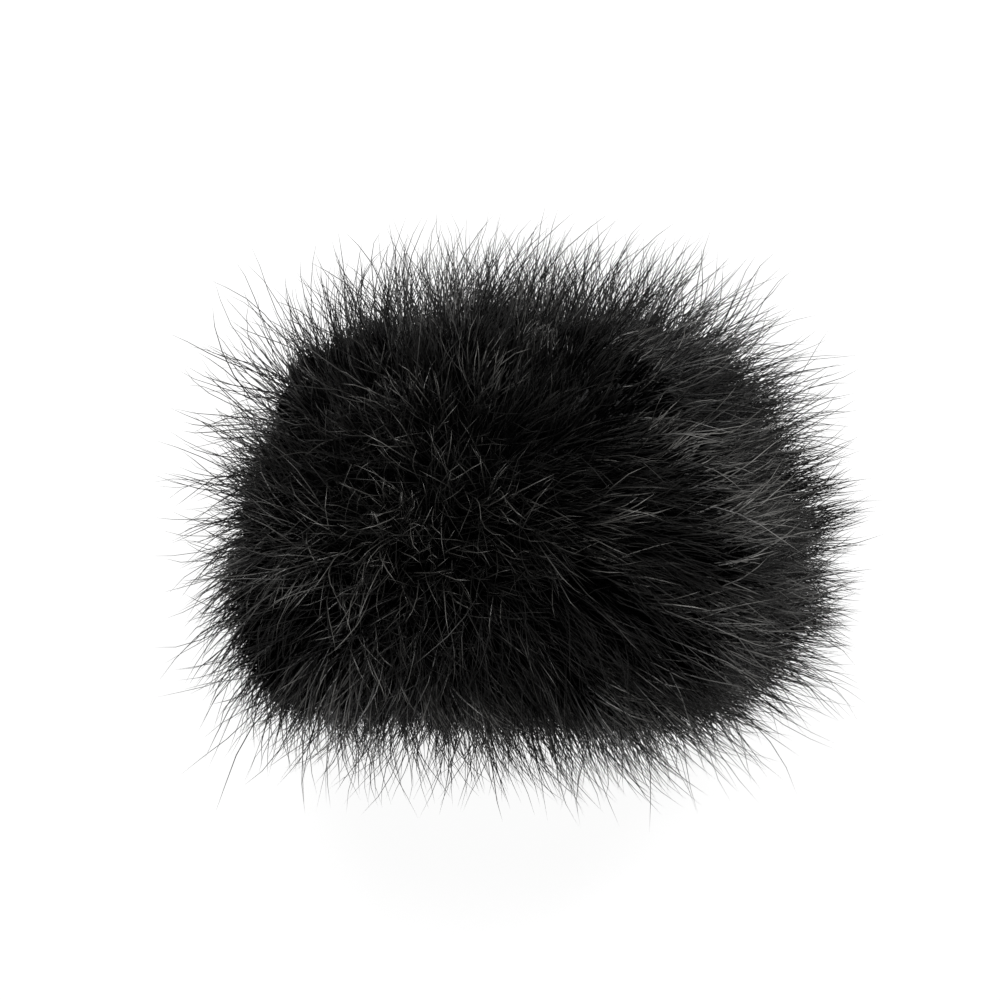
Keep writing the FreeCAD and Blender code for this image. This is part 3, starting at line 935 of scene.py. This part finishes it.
@dataclass(frozen=True)
class ClothFinish:
    """A black cloth of plain or ribbed threads."""

    name: str
    colour: Triple
    thread: float
    relief: float
    roughness: float
    cloth: Cloth = Cloth.WOVEN
    fibre: float = 0.6
    patch: float = 9 * MM
    gap_shade: float = 0.45
    gap_rough: float = 0.25
    fibre_share: float = 0.5

    def material(self) -> Material:
        """Build the material with threads, painted shade in the gaps between them and a slow unevenness.

        Returns:
            The material.
        """
        board = MaterialBoard(self.name)
        coordinates = board.add("ShaderNodeTexCoord").outputs
        place = coordinates["Object"]
        woven = board.use(threads(), {
            "Place": place, "Facing": coordinates["Normal"], "Thread": self.thread, "Rib": self.cloth.value})
        grain = self.thread * self.fibre
        uneven = board.use(speckle(), {"Place": place, "Grain": grain, "Patch": self.patch})
        # painted shade: the gaps between threads are darkened; the slow unevenness is the cloth's own tone
        tone_and_painted_shade = board.times(uneven["Shade"], board.blend(woven["Gap"], 1.0, self.gap_shade))
        height = board.plus(woven["Height"], board.times(uneven["Height"], self.fibre_share))
        return board.principled({
            "Base Color": board.scaled(self.colour, tone_and_painted_shade),
            "Roughness": board.blend(woven["Gap"], self.roughness, min(1.0, self.roughness + self.gap_rough)),
            "Normal": board.pressed(height, self.relief),
        })


@dataclass(frozen=True)
class RubberFinish:
    """Moulded matt rubber."""

    name: str
    colour: Triple
    grain: float
    roughness: float
    patch: float = 7 * MM
    relief: float = 0.04 * MM

    def material(self) -> Material:
        """Build the material with a fine moulding grain and dull rubbed patches.

        Returns:
            The material.
        """
        board = MaterialBoard(self.name)
        place = board.out("ShaderNodeTexCoord", "Object")
        grain = board.use(speckle(), {"Place": place, "Grain": self.grain, "Patch": self.patch})
        return board.principled({
            "Base Color": board.scaled(self.colour, grain["Shade"]),
            "Roughness": board.times(grain["Shade"], self.roughness),
            "Normal": board.pressed(grain["Height"], self.relief),
        })


@dataclass(frozen=True)
class FoamFinish:
    """Charcoal open-cell foam."""

    name: str
    colour: Triple
    cell: float
    grain: float = 0.25 * MM
    patch: float = 12 * MM
    relief: float = 0.12 * MM
    strut_edge: tuple[float, float] = (0.05, 0.35)
    strut_shade: tuple[float, float] = (1.5, 0.3)
    strut_roughness: tuple[float, float] = (0.75, 0.95)
    grain_share: float = 0.2

    def material(self) -> Material:
        """Build the material with fine cells, with painted shade that makes them dark inside and paler along
        their struts.

        Returns:
            The material.
        """
        board = MaterialBoard(self.name)
        place = board.out("ShaderNodeTexCoord", "Object")
        feeds = {"Vector": place, "Scale": 1.0 / self.cell}
        strut = board.out("ShaderNodeTexVoronoi", "Distance", feeds, feature="DISTANCE_TO_EDGE")
        hollow = board.ramp(strut, *self.strut_edge)
        uneven = board.use(speckle(), {"Place": place, "Grain": self.grain, "Patch": self.patch})
        # painted shade: the hollows of the cells are darkened and the struts made paler; the slow unevenness
        # is the foam's own tone
        tone_and_painted_shade = board.times(uneven["Shade"], board.blend(hollow, *self.strut_shade))
        height = board.minus(board.times(uneven["Height"], self.grain_share), hollow)
        return board.principled({
            "Base Color": board.scaled(self.colour, tone_and_painted_shade),
            "Roughness": board.blend(hollow, *self.strut_roughness),
            "Normal": board.pressed(height, self.relief),
        })


@dataclass(frozen=True)
class FoamCore:
    """The block of open-cell foam that the recorder slides into."""

    voxel: float = 0.55 * MM
    cell: float = 1.7 * MM
    depth: float = 0.3 * MM
    seed: int = 5
    strut_edge: tuple[float, float] = (0.04, 0.3)
    finish: FoamFinish = FoamFinish("charcoal_foam", (0.022, 0.022, 0.024), 0.55 * MM)

    def sizes(self) -> dict[str, object]:
        """Give the named inputs of the tree."""
        return labelled(self, "voxel", "strut_edge", "finish")

    def tree(self) -> Tree:
        """Build the tree that sinks open cells into a surface.

        Returns:
            The tree.
        """
        board = GrowBoard("foam_cells", self.sizes())
        given = board.given
        place = board.out("GeometryNodeInputPosition", "Position")
        strut = board.out("ShaderNodeTexVoronoi", "Distance", {
            "Vector": place, "Scale": board.over(1.0, given["Cell"]), "W": given["Seed"]},
            voronoi_dimensions="4D", feature="DISTANCE_TO_EDGE")
        hollow = board.ramp(strut, *self.strut_edge)
        inward = board.scaled(board.out("GeometryNodeInputNormal", "Normal"), -1.0, given["Depth"], hollow)
        sunk = board.out("GeometryNodeSetPosition", "Geometry", {
            "Geometry": given["Geometry"], "Offset": inward})
        return board.finish(board.smooth(sunk))

    def make(self) -> Piece:
        """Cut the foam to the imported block's shape and open its cells.

        Returns:
            The foam piece.
        """
        piece = new_piece("open_cell_foam", set_down(merged(["foam_core"]), "foam_block"))
        remesh = piece.modifiers.new("remesh", "REMESH")
        remesh.mode = "VOXEL"
        remesh.voxel_size = self.voxel
        block = evaluated(piece)
        piece.modifiers.remove(remesh)
        piece.data = block
        grow(piece, self.tree(), self.sizes() | {"Material": self.finish.material()})
        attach(piece, "core")
        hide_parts("foam_core")
        return piece


@dataclass(frozen=True)
class Hem:
    """The gathered casing round the mouth, with its row of stitches."""

    corner_x: float = 12 * MM
    corner_y: float = 6 * MM
    inner: float = 16.3 * MM
    outer: float = 19.4 * MM
    height: float = 9.5 * MM
    plain_rim: float = 1.2 * MM
    gathered_under: float = 3 * MM
    fold: float = 0.9 * MM
    fold_slopes: tuple[float, float] = (0.52, 1.05)
    wall: float = 0.5 * MM
    tunnel_floor: float = 0.62 * MM
    tunnel_turn: float = 1.1 * MM
    tunnel_corner: float = 0.3 * MM
    gathers: int = 58
    steps: int = 696
    gather_out: float = 0.22 * MM
    gather_in: float = 0.06 * MM
    gather_up: float = 0.3 * MM
    stitch: float = 1.8 * MM
    pitch: float = 2.6 * MM
    thread: float = 0.2 * MM
    seed: int = 3
    stitches_inside: float = 0.02 * MM
    stitches_under: float = 1.0 * MM
    finish: ClothFinish = ClothFinish("hem_cloth", (0.014, 0.014, 0.015), 0.28 * MM, 0.05 * MM, 0.7)
    sewing: ClothFinish = ClothFinish("sewing_thread", (0.02, 0.02, 0.021), 0.12 * MM, 0.02 * MM, 0.5)
    cut: Cut = Cut(205 * MM, 21.5 * MM, 0.0044)

    def outline(self, share: float, reach: float) -> tuple[float, float]:
        """Follow the mouth's rounded outline.

        Args:
            share: how far round, from 0 to 1.
            reach: distance from the corner centres' rectangle.

        Returns:
            The place, in x and y.
        """
        middle = (self.inner + self.outer) / 2
        quarter = math.pi / 2 * middle
        runs = [2 * self.corner_y, quarter, 2 * self.corner_x, quarter] * 2
        along = share % 1.0 * sum(runs)
        for index, run in enumerate(runs):
            if along <= run or index == len(runs) - 1:
                break
            along -= run
        x, y = self.corner_x, self.corner_y
        side = index // 2
        if index % 2:
            angle = side * math.pi / 2 + along / middle
            sign_x, sign_y = ((1, 1), (-1, 1), (-1, -1), (1, -1))[side]
            return sign_x * x + reach * math.cos(angle), sign_y * y + reach * math.sin(angle)
        straight = ((x + reach, -y + along), (x - along, y + reach), (-x - reach, y - along),
                    (-x + along, -y - reach))
        return straight[side]

    def section(self, share: float) -> list[tuple[float, float]]:
        """Give the casing's cut section, gathered by how far round it lies.

        Args:
            share: how far round, from 0 to 1.

        Returns:
            Pairs of reach and height, from the outer rim down, under, and up inside.
        """
        turn = 2 * math.pi * share
        # some gathers crowd together and some are shallow
        wave = 0.5 - 0.5 * math.cos(self.gathers * turn + 1.3 * math.sin(5 * turn))
        push = wave * (0.75 + 0.25 * math.sin(11 * turn + 0.7))
        out = self.outer + self.gather_out * push
        inn = self.inner - self.gather_in * push
        foot = self.gather_up * push
        fold, rim = self.fold, self.height
        rounded = [(fold * (1 - math.cos(slope)), foot + fold * (1 - math.sin(slope)))
                   for slope in self.fold_slopes]
        points = [(self.outer, rim), (self.outer, rim - self.plain_rim), (out, rim - self.gathered_under),
                  (out, rim / 2), (out, fold + foot)]
        points += [(out - across, up) for across, up in rounded]
        points += [(out - fold, foot), ((out + inn) / 2, foot), (inn + fold, foot)]
        points += [(inn + across, up) for across, up in reversed(rounded)]
        points += [(inn, fold + foot), (inn, rim / 2), (inn, rim - self.gathered_under),
                   (self.inner, rim - self.plain_rim), (self.inner, rim)]
        near, far = self.inner + self.wall, self.outer - self.wall
        points += [(near, rim), (near, rim / 2), (near, self.tunnel_turn)]
        points += [(near + self.tunnel_corner, self.tunnel_floor)]
        points += [(far - self.tunnel_corner, self.tunnel_floor)]
        points += [(far, self.tunnel_turn), (far, rim / 2), (far, rim)]
        return points

    def casing(self) -> Piece:
        """Sweep the section round the mouth.

        Returns:
            The casing piece.
        """
        shell = bmesh.new()
        rings = []
        for step in range(self.steps):
            share = step / self.steps
            places = [(*self.outline(share, reach), height) for reach, height in self.section(share)]
            rings.append([shell.verts.new(place) for place in places])
        for ring, following in zip(rings, rings[1:] + rings[:1]):
            for index in range(len(ring)):
                after = (index + 1) % len(ring)
                shell.faces.new((ring[index], ring[after], following[after], following[index]))
        bmesh.ops.recalc_face_normals(shell, faces=shell.faces)
        mesh = set_down(shell, "gathered_hem")
        mesh.shade_smooth()
        mesh.materials.append(self.finish.material())
        piece = new_piece("gathered_hem", mesh)
        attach(piece, "cover")
        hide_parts("hem_tunnel")
        return piece

    def stitch_sizes(self) -> dict[str, object]:
        """Give the named inputs of the stitches' tree."""
        return {"Pitch": self.pitch, "Stitch": self.stitch, "Thread": self.thread, "Seed": self.seed}

    def stitch_tree(self) -> Tree:
        """Build the tree that sews a row of stitches along a closed line of edges.

        Returns:
            The tree.
        """
        board = GrowBoard("stitch_row", self.stitch_sizes())
        given = board.given
        curve = board.out("GeometryNodeMeshToCurve", "Curve", {"Mesh": given["Geometry"]})
        feeds = {"Curve": curve, "Length": given["Pitch"]}
        row = board.add("GeometryNodeCurveToPoints", feeds, mode="LENGTH").outputs
        bead = board.out("GeometryNodeMeshUVSphere", "Mesh", {"Segments": 6, "Rings": 5, "Radius": 1.0})
        half_thread = board.times(given["Thread"], 0.5)
        half_stitch = board.times(board.times(given["Stitch"], 0.5), board.chance(0.92, 1.05, 1))
        sewn = board.out("GeometryNodeInstanceOnPoints", "Instances", {
            "Points": row["Points"], "Instance": bead, "Rotation": row["Rotation"],
            "Scale": board.joined(half_thread, half_thread, half_stitch)})
        return board.finish(board.smooth(board.realized(sewn)))

    def stitches(self) -> Piece:
        """Sew the row that closes the casing, inside the mouth.

        Returns:
            The piece of stitches.
        """
        reach, height = self.inner - self.stitches_inside, self.height - self.stitches_under
        places = [(*self.outline(step / self.steps, reach), height) for step in range(self.steps)]
        edges = [(step, (step + 1) % self.steps) for step in range(self.steps)]
        mesh = bpy.data.meshes.new("stitch_line")
        mesh.from_pydata(places, edges, [])
        piece = new_piece("hem_stitches", mesh)
        grow(piece, self.stitch_tree(), self.stitch_sizes() | {"Material": self.sewing.material()})
        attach(piece, "cover")
        return piece

    def make(self) -> list[Piece]:
        """Returns:
            The casing and the stitches.
        """
        casing, stitches = self.casing(), self.stitches()
        inside = [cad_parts["hem_elastic"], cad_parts["elastic_tab"]]
        self.cut.declare(casing, Hold.GATHERED, (), [stitches, *inside])
        return [casing, stitches]


@dataclass(frozen=True)
class SewnLayers:
    """The pieces that keep their own solids: linings, tapes, knit ground, elastic and rubber collar."""

    knit: ClothFinish = ClothFinish(
        "knit_ground", (0.012, 0.012, 0.0125), 0.55 * MM, 0.14 * MM, 0.85, Cloth.RIBBED)
    lining: ClothFinish = ClothFinish("slip_lining", (0.009, 0.009, 0.0095), 0.22 * MM, 0.03 * MM, 0.38)
    tape: ClothFinish = ClothFinish("binding_tape", (0.016, 0.016, 0.017), 0.4 * MM, 0.08 * MM, 0.7)
    elastic: ClothFinish = ClothFinish(
        "rib_elastic", (0.02, 0.02, 0.021), 0.7 * MM, 0.12 * MM, 0.6, Cloth.RIBBED)
    rubber: RubberFinish = RubberFinish("collar_rubber", (0.012, 0.012, 0.0125), 0.12 * MM, 0.52)
    half_hood: Cut = Cut(88.5 * MM, 67 * MM, 0.005157)

    def make(self) -> list[Piece]:
        """Returns:
            The dressed pieces.
        """
        finishes = {
            "backing_": self.knit,
            "lining_": self.lining,
            "seam_tape_": self.tape,
            "crown_patch": self.tape,
            "elastic_tab": self.tape,
            "hem_elastic": self.elastic,
            "grip_collar": self.rubber,
        }
        made = []
        for start, finish in finishes.items():
            material = finish.material()
            for name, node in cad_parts.items():
                if name.startswith(start):
                    node.data.materials.clear()
                    node.data.materials.append(material)
                    made.append(node)
        for side in ("front", "back"):
            sewn = [node for name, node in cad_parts.items() if name.startswith("seam_tape_" + side)]
            if side == "front":
                sewn.append(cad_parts["crown_patch"])
            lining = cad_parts["lining_" + side]
            self.half_hood.declare(lining, Hold.STRETCHED, ["open_cell_foam"], sewn)
        return made


@dataclass(frozen=True)
class Lamp:
    """One square lamp that faces the object."""

    name: str
    place: Triple
    size: float
    power: float

    def hang(self, aim: Vector) -> None:
        """Put the lamp into the scene.

        Args:
            aim: the place that it is turned to.
        """
        data = bpy.data.lights.new(self.name, "AREA")
        data.size = self.size
        data.energy = self.power
        lamp = new_piece(self.name, data)
        lamp.location = self.place
        lamp.rotation_euler = (aim - Vector(self.place)).to_track_quat("-Z", "Y").to_euler()


@dataclass(frozen=True)
class Studio:
    """Camera, lamps and floor."""

    aim: Triple = (-0.4 * MM, 1.8 * MM, 38 * MM)
    tilt: float = math.radians(15.5)
    distance: float = 0.5
    frame_width: float = 0.1542
    sensor: float = 36.0
    lamps: tuple[Lamp, ...] = (
        Lamp("key", (0.4, 0.36, 0.55), size=0.12, power=3.5),
        Lamp("fill", (0.0, 0.36, 0.65), size=0.2, power=4.4),
    )
    half_floor: float = 3.0
    floor_greys: tuple[float, float] = (0.8, 0.12)
    floor_glow: float = 0.96
    sky_light: float = 0.09
    white: Colour = (1.0, 1.0, 1.0, 1.0)

    def camera(self) -> None:
        """Look down on the crown from a little toward +X."""
        data = bpy.data.cameras.new("camera")
        data.sensor_width = self.sensor
        data.lens = self.sensor * self.distance / self.frame_width
        data.clip_start = 0.01
        camera = new_piece("camera", data)
        away = Vector((math.sin(self.tilt), 0.0, math.cos(self.tilt)))
        right = Vector((math.cos(self.tilt), 0.0, -math.sin(self.tilt)))
        turned = Matrix((right, away.cross(right), away)).transposed()
        camera.matrix_world = Matrix.LocRotScale(Vector(self.aim) + away * self.distance, turned, None)
        bpy.context.scene.camera = camera

    def floor(self) -> None:
        """Lay a pale floor that shows white and keeps a faint shadow."""
        mesh = bpy.data.meshes.new("floor")
        half = self.half_floor
        corners = [(-half, -half, 0), (half, -half, 0), (half, half, 0), (-half, half, 0)]
        mesh.from_pydata(corners, [], [(0, 1, 2, 3)])
        floor = new_piece("floor", mesh)
        board = MaterialBoard("white_floor")
        paper, shown = (board.out("ShaderNodeBsdfDiffuse", "BSDF", {
            "Color": (grey, grey, grey, 1.0)}) for grey in self.floor_greys)
        glow = board.out("ShaderNodeEmission", "Emission", {"Color": self.white, "Strength": self.floor_glow})
        both = board.add("ShaderNodeAddShader")
        board.feed(both.inputs[0], shown)
        board.feed(both.inputs[1], glow)
        mesh.materials.append(board.surface(by_ray(board, paper, both.outputs[0])))

    def world(self) -> None:
        """Light all round softly, with a white background."""
        world = bpy.data.worlds.new("studio")
        bpy.context.scene.world = world
        world.use_nodes = True
        board = Board(world.node_tree)
        world.node_tree.nodes.clear()
        soft, white = (board.out("ShaderNodeBackground", "Background", {
            "Color": self.white, "Strength": strength}) for strength in (self.sky_light, 1.0))
        board.add("ShaderNodeOutputWorld", {"Surface": by_ray(board, soft, white)})

    def make(self) -> None:
        """Set up the whole studio."""
        self.camera()
        self.floor()
        self.world()
        for lamp in self.lamps:
            lamp.hang(Vector(self.aim))
        bpy.context.scene.view_settings.view_transform = "Standard"


def by_ray(board: Board, lit: Socket, shown: Socket) -> Socket:
    """Light the object by one shader and show the background by another.

    Args:
        board: the tree's board.
        lit: the shader for rays that light the object.
        shown: the shader for rays that come straight from the camera, or by a mirror or glass.

    Returns:
        The two together.
    """
    rays = board.add("ShaderNodeLightPath").outputs
    mirrored = board.maths("MAXIMUM", rays["Is Glossy Ray"], rays["Is Transmission Ray"])
    mixed = board.add("ShaderNodeMixShader", {"Fac": board.maths("MAXIMUM", rays["Is Camera Ray"], mirrored)})
    board.feed(mixed.inputs[1], lit)
    board.feed(mixed.inputs[2], shown)
    return mixed.outputs[0]


# the tip colours, reached only by the paler share of strands, are a painted highlight; the other strands stay
# near the root colour
UNDER = HairFinish("under_hair", root=(0.0012, 0.0012, 0.0013, 1.0), tip=(0.004, 0.0038, 0.0036, 1.0),
                   roughness=0.5, rough_spread=0.2, dull=0.0, gloss=0.0, pale_share=0.1)
GUARD = HairFinish("guard_hair", root=(0.0015, 0.0015, 0.0016, 1.0), tip=(0.13, 0.126, 0.117, 1.0),
                   roughness=0.32, rough_spread=0.12, dull=0.08, gloss=1.0, pale_share=0.5)
COATS = (
    Coat("under_fur", UNDER, density=4.8e6, segments=2, length=12 * MM, shorter=0.4, width=0.165 * MM,
         rise=1.15, lay=0.45, lay_spread=0.4, turn=0.9, stray=1.0, tuft=4.5 * MM, pull=0.5, wave=0.05,
         trimmed=1.15, seed=11),
    Coat("guard_fur", GUARD, density=1.85e6, segments=5, length=22 * MM, shorter=0.5, width=0.105 * MM,
         rise=1.15, lay=0.05, lay_spread=0.5, turn=0.65, stray=0.5, tuft=6.5 * MM, pull=0.64, wave=0.07,
         trimmed=1.0, seed=211),
    Coat("stray_fur", GUARD, density=0.45e6, segments=6, length=31 * MM, shorter=0.6, width=0.085 * MM,
         rise=1.3, lay=0.55, lay_spread=0.6, turn=0.8, stray=1.2, tuft=6.5 * MM, pull=0.1, wave=0.09,
         trimmed=0.25, seed=411),
)


def main() -> None:
    """Build the sub-assemblies in order and report each piece."""
    logging.basicConfig(level=logging.INFO, format="%(message)s")
    Studio().make()
    made = [FoamCore().make()] + Hem().make() + SewnLayers().make() + FurCover(COATS).make()
    for piece in made:
        triangles = sum(len(face.vertices) - 2 for face in piece.data.polygons)
        LOG.info("%s: %d triangles", piece.name, triangles)


if __name__ == "__main__":
    main()
